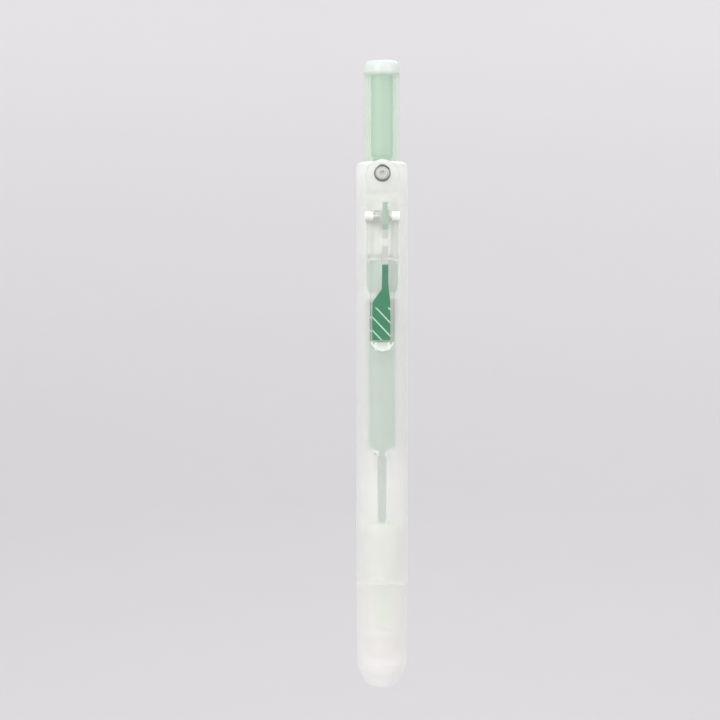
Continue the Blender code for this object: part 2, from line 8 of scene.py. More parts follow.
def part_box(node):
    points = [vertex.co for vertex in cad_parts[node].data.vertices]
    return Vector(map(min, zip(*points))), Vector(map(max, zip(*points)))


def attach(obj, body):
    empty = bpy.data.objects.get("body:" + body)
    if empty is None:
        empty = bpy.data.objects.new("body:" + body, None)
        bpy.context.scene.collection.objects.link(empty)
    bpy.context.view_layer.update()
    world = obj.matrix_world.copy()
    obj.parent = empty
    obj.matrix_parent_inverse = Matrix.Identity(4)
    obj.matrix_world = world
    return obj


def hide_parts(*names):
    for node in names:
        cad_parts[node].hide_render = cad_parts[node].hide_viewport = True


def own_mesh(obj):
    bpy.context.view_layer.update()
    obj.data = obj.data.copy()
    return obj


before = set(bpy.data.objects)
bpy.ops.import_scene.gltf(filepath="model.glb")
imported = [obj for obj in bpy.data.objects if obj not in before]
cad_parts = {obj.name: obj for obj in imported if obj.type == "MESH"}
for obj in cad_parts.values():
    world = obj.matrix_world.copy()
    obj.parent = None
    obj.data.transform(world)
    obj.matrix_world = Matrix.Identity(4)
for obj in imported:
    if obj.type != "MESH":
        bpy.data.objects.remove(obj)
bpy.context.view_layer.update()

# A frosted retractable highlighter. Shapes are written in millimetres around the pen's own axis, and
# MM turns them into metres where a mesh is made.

MM = 0.001
FINE = 112               # sides of the large turned pieces
SMALL = 64               # sides of the small turned pieces
WICK_SIDES = 40          # sides of the wick
ROD_SIDES = 48           # sides of a short rod
COIL_STEPS = 40          # steps in one turn of a spring
WIRE_SIDES = 12          # sides of its wire
CLOUD_SCALE = 260.0      # noise that varies colour and gloss over a few millimetres
GRAIN_SCALE = 900.0      # noise of a moulded surface's grain
GRAIN_DEPTH = 0.000004   # metres


def node_box(node):
    """Lowest and highest corner of a CAD node, in millimetres."""
    low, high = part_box(node)
    return Vector(low) / MM, Vector(high) / MM


def node_radius(node):
    """Half the width of a CAD node, in millimetres."""
    low, high = node_box(node)
    return (high.x - low.x) / 2


BARREL_LOW, BARREL_HIGH = node_box("barrel")
FRONT_LOW, FRONT_HIGH = node_box("front_section")
AXIS_X = (FRONT_LOW.x + FRONT_HIGH.x) / 2
AXIS_Y = (FRONT_LOW.y + FRONT_HIGH.y) / 2
BARREL_R = node_radius("barrel")
FRONT_R = node_radius("front_section")
BORE_R = node_radius("cam_guide") + 0.1
SEAM_Z = BARREL_LOW.z
BARREL_TOP = BARREL_HIGH.z
BUTTON_TOP = node_box("button_sleeve")[1].z
AXIS = Vector((AXIS_X, AXIS_Y, 0.0))

# ------------------------------------------------------------------ materials


class Nodes:
    """A short way to write a material's node tree."""

    def __init__(self, name):
        self.material = bpy.data.materials.new(name)
        self.material.use_nodes = True
        self.tree = self.material.node_tree
        self.shader = self.tree.nodes["Principled BSDF"]
        self.where = self.add("ShaderNodeTexCoord").outputs["Object"]

    def add(self, kind, **settings):
        node = self.tree.nodes.new(kind)
        for key, value in settings.items():
            setattr(node, key, value)
        return node

    def link(self, source, target):
        self.tree.links.new(source, target)

    def value(self, socket, amount):
        self.shader.inputs[socket].default_value = amount

    def noise(self, scale, detail, roughness=0.5, stretch=(1.0, 1.0, 1.0)):
        spread = self.add("ShaderNodeMapping")
        spread.inputs["Scale"].default_value = stretch
        self.link(self.where, spread.inputs["Vector"])
        noise = self.add("ShaderNodeTexNoise")
        noise.inputs["Scale"].default_value = scale
        noise.inputs["Detail"].default_value = detail
        noise.inputs["Roughness"].default_value = roughness
        self.link(spread.outputs["Vector"], noise.inputs["Vector"])
        return noise.outputs["Fac"]

    def ramp(self, factor, stops):
        ramp = self.add("ShaderNodeValToRGB")
        while len(ramp.color_ramp.elements) < len(stops):
            ramp.color_ramp.elements.new(0.5)
        for element, (place, colour) in zip(ramp.color_ramp.elements, stops):
            element.position = place
            element.color = (*colour, 1.0)
        self.link(factor, ramp.inputs["Fac"])
        return ramp.outputs["Color"]

    def span(self, factor, low, high):
        spread = self.add("ShaderNodeMapRange")
        spread.inputs["To Min"].default_value = low
        spread.inputs["To Max"].default_value = high
        self.link(factor, spread.inputs["Value"])
        return spread.outputs["Result"]

    def height(self, low, high, wobble, scale=40.0):
        """How far up a point lies between two heights in millimetres, shifted a little by noise."""
        split = self.add("ShaderNodeSeparateXYZ")
        self.link(self.where, split.inputs["Vector"])
        share = self.add("ShaderNodeMapRange")
        share.inputs["From Min"].default_value = low * MM
        share.inputs["From Max"].default_value = high * MM
        self.link(split.outputs["Z"], share.inputs["Value"])
        shifted = self.add("ShaderNodeMath", operation="MULTIPLY_ADD")
        shifted.inputs[1].default_value = wobble
        self.link(self.noise(scale, 4.0), shifted.inputs[0])
        self.link(share.outputs["Result"], shifted.inputs[2])
        return shifted.outputs["Value"]

    def bump(self, height, distance, strength):
        bump = self.add("ShaderNodeBump")
        bump.inputs["Strength"].default_value = strength
        bump.inputs["Distance"].default_value = distance
        self.link(height, bump.inputs["Height"])
        self.link(bump.outputs["Normal"], self.shader.inputs["Normal"])


def tint(colour, factor):
    """A colour made lighter or darker."""
    return tuple(min(1.0, c * factor) for c in colour)


def moulded_surface(n, cloud, roughness, grain_depth):
    """Gloss that varies with a cloud of noise, and a fine surface grain."""
    n.link(n.span(cloud, roughness * 0.85, roughness * 1.15), n.shader.inputs["Roughness"])
    n.bump(n.noise(GRAIN_SCALE, 2.0, 0.6), grain_depth, 0.6)


def plastic(name, colour, roughness, transmission=0.0, alpha=1.0, grain_depth=GRAIN_DEPTH, ior=1.49,
            sheen=0.0):
    """Moulded plastic of one colour, faintly cloudy."""
    n = Nodes(name)
    n.value("IOR", ior)
    n.value("Transmission Weight", transmission)
    n.value("Alpha", alpha)
    n.value("Sheen Weight", sheen)
    cloud = n.noise(CLOUD_SCALE, 4.0, 0.55)
    tones = [(0.3, tint(colour, 0.975)), (0.7, tint(colour, 1.02))]
    n.link(n.ramp(cloud, tones), n.shader.inputs["Base Color"])
    moulded_surface(n, cloud, roughness, grain_depth)
    return n.material


def graded_plastic(name, tones, roughness, sheen, heights, alphas):
    """Moulded plastic whose colour and density change between two heights in millimetres."""
    n = Nodes(name)
    n.value("Sheen Weight", sheen)
    share = n.height(*heights, 0.08, CLOUD_SCALE)
    n.link(n.ramp(share, tones), n.shader.inputs["Base Color"])
    if alphas[0] == alphas[1]:
        n.value("Alpha", alphas[0])
    else:
        n.link(n.span(share, *alphas), n.shader.inputs["Alpha"])
    moulded_surface(n, n.noise(CLOUD_SCALE, 4.0, 0.55), roughness, GRAIN_DEPTH)
    return n.material


def steel(name, colour, roughness):
    """Drawn wire: fine streaks in the gloss and slightly uneven colour."""
    n = Nodes(name)
    n.value("Metallic", 1.0)
    streak = n.noise(1400.0, 3.0, 0.6, (1.0, 1.0, 0.25))
    tones = [(0.3, tint(colour, 0.8)), (0.7, tint(colour, 1.1))]
    n.link(n.ramp(streak, tones), n.shader.inputs["Base Color"])
    n.link(n.span(streak, roughness * 0.7, roughness * 1.3), n.shader.inputs["Roughness"])
    n.bump(streak, 0.000003, 0.5)
    return n.material


def rubber(name, colour):
    """Soft matt rubber with a dusty bloom."""
    n = Nodes(name)
    dust = n.noise(700.0, 5.0, 0.7)
    tones = [(0.35, tint(colour, 0.93)), (0.7, tint(colour, 1.05))]
    n.link(n.ramp(dust, tones), n.shader.inputs["Base Color"])
    n.link(n.span(dust, 0.6, 0.85), n.shader.inputs["Roughness"])
    n.bump(n.noise(2500.0, 2.0), 0.000006, 0.8)
    return n.material


def felt(name, colour):
    """Bonded fibre: long streaks along the rod, a soft sheen and a rough surface."""
    n = Nodes(name)
    fibres = n.noise(1600.0, 4.0, 0.7, (1.0, 1.0, 0.12))
    tones = [(0.3, tint(colour, 0.82)), (0.75, tint(colour, 1.08))]
    n.link(n.ramp(fibres, tones), n.shader.inputs["Base Color"])
    n.value("Roughness", 0.9)
    n.value("Sheen Weight", 0.3)
    n.bump(fibres, 0.00003, 0.9)
    return n.material


# ------------------------------------------------------------------ shapes


def fillet(profile, radius, closed):
    """Round every corner of a (radius, height) outline with a short curve."""
    steps = 4
    straight = math.radians(165)
    rounded = []
    count = len(profile)
    for i, (r, z) in enumerate(profile):
        if not closed and i in (0, count - 1):
            rounded.append((r, z))
            continue
        here = Vector((r, z))
        before = Vector(profile[i - 1]) - here
        after = Vector(profile[(i + 1) % count]) - here
        reach = min(radius, before.length * 0.45, after.length * 0.45)
        if before.length < 1e-6 or after.length < 1e-6 or before.angle(after) > straight:
            rounded.append((r, z))
            continue
        start = here + before.normalized() * reach
        end = here + after.normalized() * reach
        for k in range(steps + 1):
            t = k / steps
            point = start * (1 - t) ** 2 + here * 2 * t * (1 - t) + end * t ** 2
            rounded.append((point.x, point.y))
    return rounded


def turned(profile, sides=FINE, radius=0.15):
    """A lathe mesh around the pen's axis from an outline in millimetres, corners rounded."""
    closed = profile[0][0] > 0.0
    bm = bmesh.new()
    columns = []
    for r, z in fillet(profile, radius, closed):
        if r < 1e-5:
            columns.append([bm.verts.new((AXIS + Vector((0.0, 0.0, z))) * MM)])
            continue
        ring = []
        for i in range(sides):
            a = 2 * math.pi * i / sides
            ring.append(bm.verts.new((AXIS + Vector((r * math.cos(a), r * math.sin(a), z))) * MM))
        columns.append(ring)
    pairs = list(zip(columns, columns[1:]))
    if closed:
        pairs.append((columns[-1], columns[0]))
    for top, low in pairs:
        for i in range(sides):
            j = (i + 1) % sides
            corners = [top[i % len(top)], low[i % len(low)], low[j % len(low)], top[j % len(top)]]
            face = list(dict.fromkeys(corners))
            if len(face) > 2:
                bm.faces.new(face)
    return bm


def finish_piece(name, bm, materials, body, replaced, angle=35.0, pick=None):
    """Make a named piece from a bmesh and tell the frame what it is.

    pick takes a face's centre in millimetres around the pen's axis and returns its material's index.
    Without it, materials is a single material.
    """
    bmesh.ops.recalc_face_normals(bm, faces=bm.faces)
    mesh = bpy.data.meshes.new(name)
    bm.to_mesh(mesh)
    bm.free()
    mesh.shade_smooth()
    mesh.set_sharp_from_angle(angle=math.radians(angle))
    obj = bpy.data.objects.new(name, mesh)
    bpy.context.scene.collection.objects.link(obj)
    for material in materials if pick else [materials]:
        mesh.materials.append(material)
    if pick:
        for face in mesh.polygons:
            face.material_index = pick(face.center / MM - AXIS)
    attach(obj, body)
    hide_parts(replaced)
    return obj


def arc(r0, z0, width, height, start, end, count):
    """Points of an elliptical arc in an outline, between two angles in degrees."""
    points = []
    for i in range(count + 1):
        a = math.radians(start + (end - start) * i / count)
        points.append((r0 + width * math.cos(a), z0 + height * math.sin(a)))
    return points


def joined(obj_bm, others, operation="UNION"):
    """Boolean a list of closed bmeshes into one."""
    result = obj_bm
    for other in others:
        base = bpy.data.objects.new("base", mesh_of(result, "base"))
        tool = bpy.data.objects.new("tool", mesh_of(other, "tool"))
        for obj in (base, tool):
            bpy.context.scene.collection.objects.link(obj)
        step = base.modifiers.new("Boolean", "BOOLEAN")
        step.operation = operation
        step.solver = "EXACT"
        step.object = tool
        bpy.context.view_layer.update()
        graph = bpy.context.evaluated_depsgraph_get()
        result = bmesh.new()
        result.from_mesh(base.evaluated_get(graph).to_mesh())
        for obj in (base, tool):
            bpy.data.objects.remove(obj, do_unlink=True)
    return result


def mesh_of(bm, name):
    """Turn a bmesh into a mesh and free it."""
    bmesh.ops.recalc_face_normals(bm, faces=bm.faces)
    mesh = bpy.data.meshes.new(name)
    bm.to_mesh(mesh)
    bm.free()
    return mesh


def rod(radius, start, end, axis, centre, edge=0.15):
    """A rod along X or Y with rounded rims, in millimetres around the pen's axis."""
    bm = bmesh.new()
    bmesh.ops.create_cone(bm, cap_ends=True, segments=ROD_SIDES, radius1=radius * MM,
                          radius2=radius * MM, depth=(end - start) * MM)
    rims = [e for e in bm.edges if abs(e.verts[0].co.z - e.verts[1].co.z) < 1e-7]
    bmesh.ops.bevel(bm, geom=rims, offset=edge * MM, segments=3, profile=0.5, affect="EDGES")
    turn = Matrix.Rotation(math.radians(90.0), 4, "Y" if axis == "X" else "X")
    middle = (start + end) / 2
    spot = (middle, centre[0], centre[1]) if axis == "X" else (centre[0], middle, centre[1])
    bm.transform(Matrix.Translation((Vector(spot) + AXIS) * MM) @ turn)
    return bm


def block(x0, x1, y0, y1, z0, z1, edge=0.12):
    """A block with rounded edges, in millimetres around the pen's axis."""
    bm = bmesh.new()
    bmesh.ops.create_cube(bm, size=1.0)
    for v in bm.verts:
        v.co.x = (AXIS_X + (x0 if v.co.x < 0 else x1)) * MM
        v.co.y = (AXIS_Y + (y0 if v.co.y < 0 else y1)) * MM
        v.co.z = (z0 if v.co.z < 0 else z1) * MM
    if edge:
        bmesh.ops.bevel(bm, geom=bm.edges[:], offset=edge * MM, segments=3, profile=0.5, affect="EDGES")
    return bm


def loft(sections):
    """A closed solid through outlines of equal point count, in millimetres around the axis."""
    bm = bmesh.new()
    rings = [[bm.verts.new((Vector(p) + AXIS) * MM) for p in section] for section in sections]
    count = len(rings[0])
    for low, high in zip(rings, rings[1:]):
        for i in range(count):
            j = (i + 1) % count
            bm.faces.new((low[i], low[j], high[j], high[i]))
    bm.faces.new(list(reversed(rings[0])))
    bm.faces.new(rings[-1])
    return bm


def coil(radius, wire, start, end, turns, along="Z", centre=(0.0, 0.0)):
    """A compression spring with closed ends, swept as a round wire around a helix."""
    bm = bmesh.new()
    closed = 0.75            # turns that lie close together at each end
    flat = 2.1 * wire
    pitch = (end - start - 2 * closed * flat) / (turns - 2 * closed)
    count = int(turns * COIL_STEPS)
    rings = []
    for i in range(count + 1):
        turn = turns * i / count
        ends = min(turn, closed) + max(0.0, turn - (turns - closed))
        height = start + ends * flat + (turn - ends) * pitch
        a = 2 * math.pi * turn
        out = Vector((math.cos(a), math.sin(a), 0.0))
        up = Vector((0.0, 0.0, 1.0))
        ring = []
        for k in range(WIRE_SIDES):
            b = 2 * math.pi * k / WIRE_SIDES
            p = out * (radius + wire * math.cos(b)) + up * (height + wire * math.sin(b))
            if along == "Y":
                p = Vector((p.x + centre[0], p.z, p.y + centre[1]))
            ring.append(bm.verts.new((p + AXIS) * MM))
        rings.append(ring)
    for low, high in zip(rings, rings[1:]):
        for k in range(WIRE_SIDES):
            m = (k + 1) % WIRE_SIDES
            bm.faces.new((low[k], low[m], high[m], high[k]))
    bm.faces.new(list(reversed(rings[0])))
    bm.faces.new(rings[-1])
    return bm


# ------------------------------------------------------------------ casing

# Heights, and places along Y from the pen's axis, of the clip's pin and of its spring.
PIVOT_Y = sum(p.y for p in node_box("clip_pin")) / 2 - AXIS_Y
PIVOT_Z = sum(p.z for p in node_box("clip_pin")) / 2
CLIP_SPRING_Z = sum(p.z for p in node_box("clip_spring")) / 2
FLANGE_R = node_radius("button_sleeve")               # the button's foot, which stays in the barrel
MOUTH_R = FLANGE_R - 0.25                             # the barrel's opening at its top
BUTTON_R = MOUTH_R - 0.25
CAP_UNDERSIDE = BUTTON_TOP - 2.9
COLLAR_FADE = (BARREL_TOP - 9.5, BARREL_TOP - 2.0)    # where the barrel's plastic grows denser
CAP_FADE = (BUTTON_TOP - 3.5, BUTTON_TOP - 2.3)       # where the button's plastic grows denser
DIMPLE_R = 0.6
PEG_END_Y = -6.6


def make_barrel():
    """A turned shell with two ears for the clip's pin and a dimpled peg for its spring."""
    corner = 0.9
    step_z = BARREL_TOP - 5.3
    profile = [(MOUTH_R, BARREL_TOP)]
    profile += arc(BARREL_R - corner, BARREL_TOP - corner, corner, corner, 90, 0, 8)
    profile += [(BARREL_R, COLLAR_FADE[0]), (BARREL_R, SEAM_Z + 4.0)]
    profile += [(BARREL_R, SEAM_Z + 0.15), (BARREL_R - 0.06, SEAM_Z), (BORE_R + 0.1, SEAM_Z)]
    profile += [(BORE_R, SEAM_Z + 0.3), (BORE_R, step_z - 0.4), (MOUTH_R, step_z)]
    ear_r, ear_inner, ear_outer, ear_root = 1.05, 2.0, 3.9, -4.25
    extras = []
    for side in (-1, 1):
        low, high = sorted((side * ear_inner, side * ear_outer))
        foot = block(low, high, PIVOT_Y, ear_root, PIVOT_Z - ear_r, PIVOT_Z + ear_r)
        extras.append(joined(rod(ear_r, low, high, "X", (PIVOT_Y, PIVOT_Z)), [foot]))
    peg_r, peg_root = 1.0, -5.2
    extras.append(rod(peg_r, PEG_END_Y, peg_root, "Y", (0.0, CLIP_SPRING_Z)))
    dimple = rod(DIMPLE_R, PEG_END_Y - 0.4, PEG_END_Y + 0.3, "Y", (0.0, CLIP_SPRING_Z), 0.1)
    shell = joined(joined(turned(profile), extras), [dimple], "DIFFERENCE")

    def density(centre):
        """0 for the thin wall, 1 for the collar, 2 for the ears and the peg, 3 for its dimple, which is
        painted darker as shade in the recess.
        """
        if centre.y < PEG_END_Y + 0.35 and math.hypot(centre.x, centre.z - CLIP_SPRING_Z) < DIMPLE_R + 0.02:
            return 3
        if centre.y < -BARREL_R - 0.05:
            return 2
        return int(centre.z > COLLAR_FADE[0] and math.hypot(centre.x, centre.y) > BARREL_R - corner - 0.05)

    finish_piece("barrel_shell", shell, [FROSTED, FROSTED_COLLAR, FROSTED_SOLID, PEG_DIMPLE_PAINTED_SHADE], "root",
                 "barrel", pick=density)


def make_front_section():
    """A spigot in the barrel, a straight wall, a superellipse nose and the flaps' chamber inside."""
    shoulder = SEAM_Z - 0.04
    spigot_top = FRONT_HIGH.z
    spigot_r, bore_r, chamber_r = 4.65, 4.0, 4.25
    nose_r, rim_r, hole_r = 5.5, 2.65, 2.3
    nose_height, nose_lean, nose_steps = 5.4, 1.38, 20
    profile = [(bore_r, spigot_top), (spigot_r - 0.2, spigot_top), (spigot_r, spigot_top - 0.3)]
    profile += [(spigot_r, shoulder), (FRONT_R - 0.06, shoulder), (FRONT_R, shoulder - 0.15)]
    for i in range(nose_steps + 1):
        a = math.radians(90 * i / nose_steps)
        r = rim_r + (nose_r - rim_r) * max(0.0, math.cos(a)) ** nose_lean
        profile.append((r, nose_height * (1 - math.sin(a) ** nose_lean)))
    profile += [(hole_r, 0.0), (hole_r, 1.2), (chamber_r, 3.1), (chamber_r, 6.8), (bore_r, 7.1)]
    finish_piece("front_shell", turned(profile, radius=0.08), MILKY, "root", "front_section")


def make_button():
    """The translucent sleeve with its closed, denser cap, and the green core rod inside it."""
    round_width, round_height = 1.05, 1.9
    foot = node_box("button_sleeve")[0].z
    flange_top = foot + 1.0
    bore_r = 3.2
    profile = [(0.0, BUTTON_TOP)]
    profile += arc(BUTTON_R - round_width, BUTTON_TOP - round_height, round_width, round_height, 90, 0, 12)
    profile += [(BUTTON_R, CAP_FADE[0]), (BUTTON_R, flange_top), (FLANGE_R, flange_top), (FLANGE_R, foot)]
    profile += [(bore_r, foot), (bore_r, CAP_UNDERSIDE), (0.0, CAP_UNDERSIDE)]

    def capped(centre):
        """1 for the cap's outside, 0 for the clear sleeve and the cap's underside."""
        wall = centre.z > CAP_FADE[0] and math.hypot(centre.x, centre.y) > bore_r + 0.4
        return int(wall or centre.z > CAP_UNDERSIDE + 0.05)

    finish_piece("button_shell", turned(profile, radius=0.12), [BUTTON_CLEAR, BUTTON_CAP], "button",
                 "button_sleeve", pick=capped)
    core_r, stem_r, collar_r = 2.5, 2.0, 3.05
    core_foot, collar_low, collar_high = 118.9, 110.9, 112.0
    stem_foot = node_box("button_core")[0].z
    top = CAP_UNDERSIDE - 0.2
    profile = [(0.0, top), (core_r, top), (core_r, core_foot), (stem_r, core_foot - 0.6)]
    profile += [(stem_r, collar_high + 0.4), (collar_r, collar_high), (collar_r, collar_low)]
    profile += [(stem_r, collar_low - 0.3), (stem_r, stem_foot), (0.0, stem_foot)]
    finish_piece("button_core_rod", turned(profile, SMALL, 0.2), CORE_GREEN, "button", "button_core")


# ------------------------------------------------------------------ refill

TANK_FLOOR = 53.4
TANK_R = 3.5
TANK_BORE_R = 3.1


def make_tank():
    """A clear tube with a conical floor and a neck, and the ink in it with a curved surface."""
    low, high = node_box("ink_tank")
    neck_r, neck_bore_r = 1.9, 1.35
    profile = [(TANK_BORE_R, high.z), (TANK_R, high.z), (TANK_R, TANK_FLOOR)]
    profile += [(TANK_R - 0.3, TANK_FLOOR - 0.3), (neck_r, TANK_FLOOR - 1.6)]
    profile += [(neck_r, low.z), (neck_bore_r, low.z)]
    profile += [(neck_bore_r, TANK_FLOOR - 1.5), (TANK_BORE_R, TANK_FLOOR)]
    finish_piece("tank_shell", turned(profile, SMALL, 0.15), TANK_CLEAR, "refill", "ink_tank")
    low, high = node_box("ink_fill")
    ink_r = TANK_BORE_R - 0.07
    profile = [(0.0, high.z - 0.35), (1.6, high.z - 0.3), (2.6, high.z - 0.1), (ink_r, high.z)]
    profile += [(ink_r, TANK_FLOOR + 0.2), (0.72, TANK_FLOOR - 1.0), (0.6, low.z), (0.0, low.z)]
    finish_piece("ink_body", turned(profile, SMALL, 0.1), INK, "refill", "ink_fill")


def make_wick():
    """A thin fibre rod that tapers towards the nib."""
    tip = node_box("ink_wick")[0].z
    top, thick = 51.5, 1.05
    profile = [(0.0, top), (thick - 0.25, top), (thick, top - 0.3), (thick - 0.12, tip + 1.0)]
    profile += [(thick - 0.4, tip), (0.0, tip)]
    finish_piece("wick_rod", turned(profile, WICK_SIDES, 0.3), WICK, "refill", "ink_wick",
                 angle=50)


def make_nib_holder():
    """The sleeve that carries the wick and the nib, with a groove for its rubber ring."""
    snout_foot = node_box("nib_holder")[0].z
    top, shoulder, waist = 51.3, 35.8, 27.2
    collar_r, groove_r, body_r, snout_r = 3.8, 3.05, 2.6, 2.1
    tank_bore_r, wick_bore_r, nib_bore_r = 2.02, 1.3, 1.9
    groove_low, groove_high, collar_foot = 33.7, 35.1, 33.0
    profile = [(tank_bore_r, top), (body_r - 0.1, top), (body_r, top - 0.3), (3.3, shoulder + 1.2)]
    profile += [(collar_r, shoulder), (collar_r, groove_high), (groove_r, groove_high)]
    profile += [(groove_r, groove_low), (collar_r, groove_low), (collar_r, collar_foot)]
    profile += [(body_r, collar_foot), (body_r, waist), (snout_r, waist - 0.4)]
    profile += [(snout_r, snout_foot), (nib_bore_r, snout_foot)]
    profile += [(nib_bore_r, 36.25), (wick_bore_r, 36.6), (wick_bore_r, 47.4), (tank_bore_r, 47.5)]
    finish_piece("nib_holder_body", turned(profile, SMALL, 0.1), HOLDER, "refill", "nib_holder")
    low, high = groove_low + 0.1, groove_high - 0.1
    inside, outside = groove_r + 0.15, node_radius("holder_seal")
    profile = [(inside, high), (outside, high), (outside, low), (inside, low)]
    finish_piece("holder_ring", turned(profile, SMALL, 0.5), RING_RUBBER, "refill", "holder_seal",
                 angle=60)


def make_tail_plug():
    """A domed flange on the tank's end, with a stem that plugs its bore."""
    top, flange_high, flange_low, foot = 88.2, 87.5, 86.6, 84.2
    flange_r, stem_r = 3.35, 2.98
    profile = [(0.0, top), (1.0, top), (1.4, top - 0.5), (flange_r, flange_high)]
    profile += [(flange_r, flange_low + 0.05), (stem_r, flange_low)]
    profile += [(stem_r, foot + 0.3), (stem_r - 0.3, foot), (0.0, foot)]
    finish_piece("tail_plug_body", turned(profile, SMALL, 0.15), PLUG, "refill", "tail_plug")


def make_nib():
    """A felt rod with a rounded rim, cut to a chisel by two flanks and a slant."""
    low, high = node_box("nib")
    radius = node_radius("nib")
    reach, beyond = 3.0, 4.0
    flanks = ((low.z - 0.5, 0.375), (low.z + 6.2, 2.05))     # height, and half the width left there
    slopes = ((-reach, low.z - 0.35), (reach, low.z + 1.65))
    body = turned([(0.0, high.z), (radius, high.z), (radius, low.z), (0.0, low.z)], SMALL, 0.25)
    cuts = []
    for side in (-1, 1):
        flank = []
        for z, x in flanks:
            near = [(side * x, -reach, z), (side * x, reach, z)]
            flank.append(near + [(side * beyond, reach, z), (side * beyond, -reach, z)])
        cuts.append(loft(flank))
    slant = []
    for y, z in slopes:
        deep = low.z - reach
        slant.append([(-reach, y, z), (reach, y, z), (reach, y, deep), (-reach, y, deep)])
    cuts.append(loft(slant))
    nib = joined(body, cuts, "DIFFERENCE")
    finish_piece("nib_felt_tip", nib, NIB, "refill", "nib", angle=45)


# ------------------------------------------------------------------ springs


def make_return_spring():
    """The long coil that lifts the refill, from the seal carrier up to the holder's collar."""
    low, high = node_box("return_spring")
    radius, wire, turns = 3.08, 0.24, 9.0
    spring = finish_piece("return_coil", coil(radius, wire, low.z + wire, high.z - wire, turns), STEEL,
                          "root", "return_spring", angle=60)
    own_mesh(spring)


def make_clip_spring():
    """The short coil on the peg behind the clip's head. It casts no shadow on the peg inside it."""
    low, high = node_box("clip_spring")
    front, back = low.y - AXIS_Y, high.y - AXIS_Y
    radius, wire, turns = 1.64, 0.16, 3.5
    shape = coil(radius, wire, front + wire, back - wire, turns, "Y", (0.0, CLIP_SPRING_Z))
    spring = finish_piece("clip_coil", shape, DARK_STEEL, "root", "clip_spring", angle=60)
    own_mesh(spring)
    spring.visible_shadow = False


# ------------------------------------------------------------------ clip

CLIP_LOW, CLIP_HIGH = node_box("clip")
CLIP_TOP = CLIP_HIGH.z
CLIP_FOOT = CLIP_LOW.z
CLIP_FRONT = AXIS_Y - CLIP_LOW.y
CLIP_THICK = 1.3
CLIP_CORE = 0.6          # how far behind the clip's face the shapes joined to it start
TIP_FRONT = 8.35         # how far in front of the axis the clip's face is at its lower tip
BEND_Z = 108.0           # the clip's face is upright above this height and leans in below it
HEAD_R = 3.7
HEAD_START = 110.0       # the clip widens from here up to its round head
HEAD_LEAN_Z = 115.5      # the head's face leans back above this height
SLIM = 2.68              # half the clip's width at its slim lower part
WIDE = 3.5               # half its width in the middle
WAIST = (87.0, 90.0)     # where it changes from slim to wide
GRIP_Z = 76.05           # height of the foot that presses on the barrel
STEM_LEFT = -0.1         # edges of the inlay's stem
STEM_RIGHT = 1.3


def clip_half_width(z):
    """Half the clip's width at one height: a round tip, a slim part, a wide part and a round head."""
    share = min(1.0, max(0.0, (z - WAIST[0]) / (WAIST[1] - WAIST[0])))
    half = SLIM + (WIDE - SLIM) * (3 * share ** 2 - 2 * share ** 3)
    head_z = CLIP_TOP - HEAD_R
    if z > HEAD_START:
        half = WIDE + (HEAD_R - WIDE) * min(1.0, (z - HEAD_START) / (head_z - HEAD_START))
    if z > head_z:
        half = math.sqrt(max(0.0, HEAD_R ** 2 - (z - head_z) ** 2))
    if z < CLIP_FOOT + SLIM:
        half = math.sqrt(max(0.0, SLIM ** 2 - (CLIP_FOOT + SLIM - z) ** 2))
    return max(0.15, half)


def clip_front_y(z):
    """Where the clip's face is at one height."""
    share = max(0.0, (BEND_Z - z) / (BEND_Z - CLIP_FOOT))
    y = -CLIP_FRONT + (CLIP_FRONT - TIP_FRONT) * share ** 1.15
    if z > HEAD_LEAN_Z:
        y += 0.25 * ((z - HEAD_LEAN_Z) / (CLIP_TOP - HEAD_LEAN_Z)) ** 2
    return y


def clip_section(z):
    """The outline of the clip's plate at one height, with rounded edges."""
    half = clip_half_width(z)
    front = clip_front_y(z)
    back = front + CLIP_THICK
    edge = min(0.42, half * 0.7)
    points = []
    corners = ((half - edge, front + edge, -90), (half - edge, back - edge, 0),
               (-half + edge, back - edge, 90), (-half + edge, front + edge, 180))
    for x, y, start in corners:
        for k in range(7):
            a = math.radians(start + 15 * k)
            points.append((x + edge * math.cos(a), y + edge * math.sin(a), z))
    return points


def clip_heights():
    """Heights of the plate's sections, closest together at the round tip and the round head."""
    low = [CLIP_FOOT + 0.02 + SLIM * (1 - math.cos(math.radians(a))) for a in range(4, 91, 6)]
    middle = [78.0 + 0.5 * i for i in range(65)]
    head = [CLIP_TOP - 0.02 - HEAD_R * (1 - math.sin(math.radians(a))) for a in range(0, 87, 6)]
    return sorted(low + middle + [111.0, 112.0, 113.0] + head)


def clip_rail(side):
    """A low rib behind one edge of the clip, which stiffens it."""
    rail_inner, rail_outer = 2.75, 3.45
    inner, outer = sorted((side * rail_inner, side * rail_outer))
    ends = []
    for z, depth in ((90.6, 0.6), (92.6, CLIP_THICK), (103.2, CLIP_THICK)):
        face = clip_front_y(z) + CLIP_CORE
        back = clip_front_y(z) + CLIP_THICK + depth
        ends.append([(inner, face, z), (outer, face, z), (outer, back, z), (inner, back, z)])
    return loft(ends)


def clip_grip():
    """The rounded foot behind the tip, which presses on the barrel."""
    half, reach, touch = 1.75, 0.9, -5.97
    front = clip_front_y(GRIP_Z) + 0.7
    sections = []
    for k in range(9):
        a = math.radians(-80 + 20 * k)
        x = half * math.sin(a)
        lift = 1 - math.cos(a)
        back = touch - 0.35 * lift
        tall = reach - 0.15 * lift
        section = [(x, front, GRIP_Z - tall)]
        for m in range(7):
            b = math.radians(-75 + 25 * m)
            section.append((x, back - 0.3 * (1 - math.cos(b)), GRIP_Z + tall * 0.9 * math.sin(b)))
        section.append((x, front, GRIP_Z + tall))
        sections.append(section)
    return loft(sections)


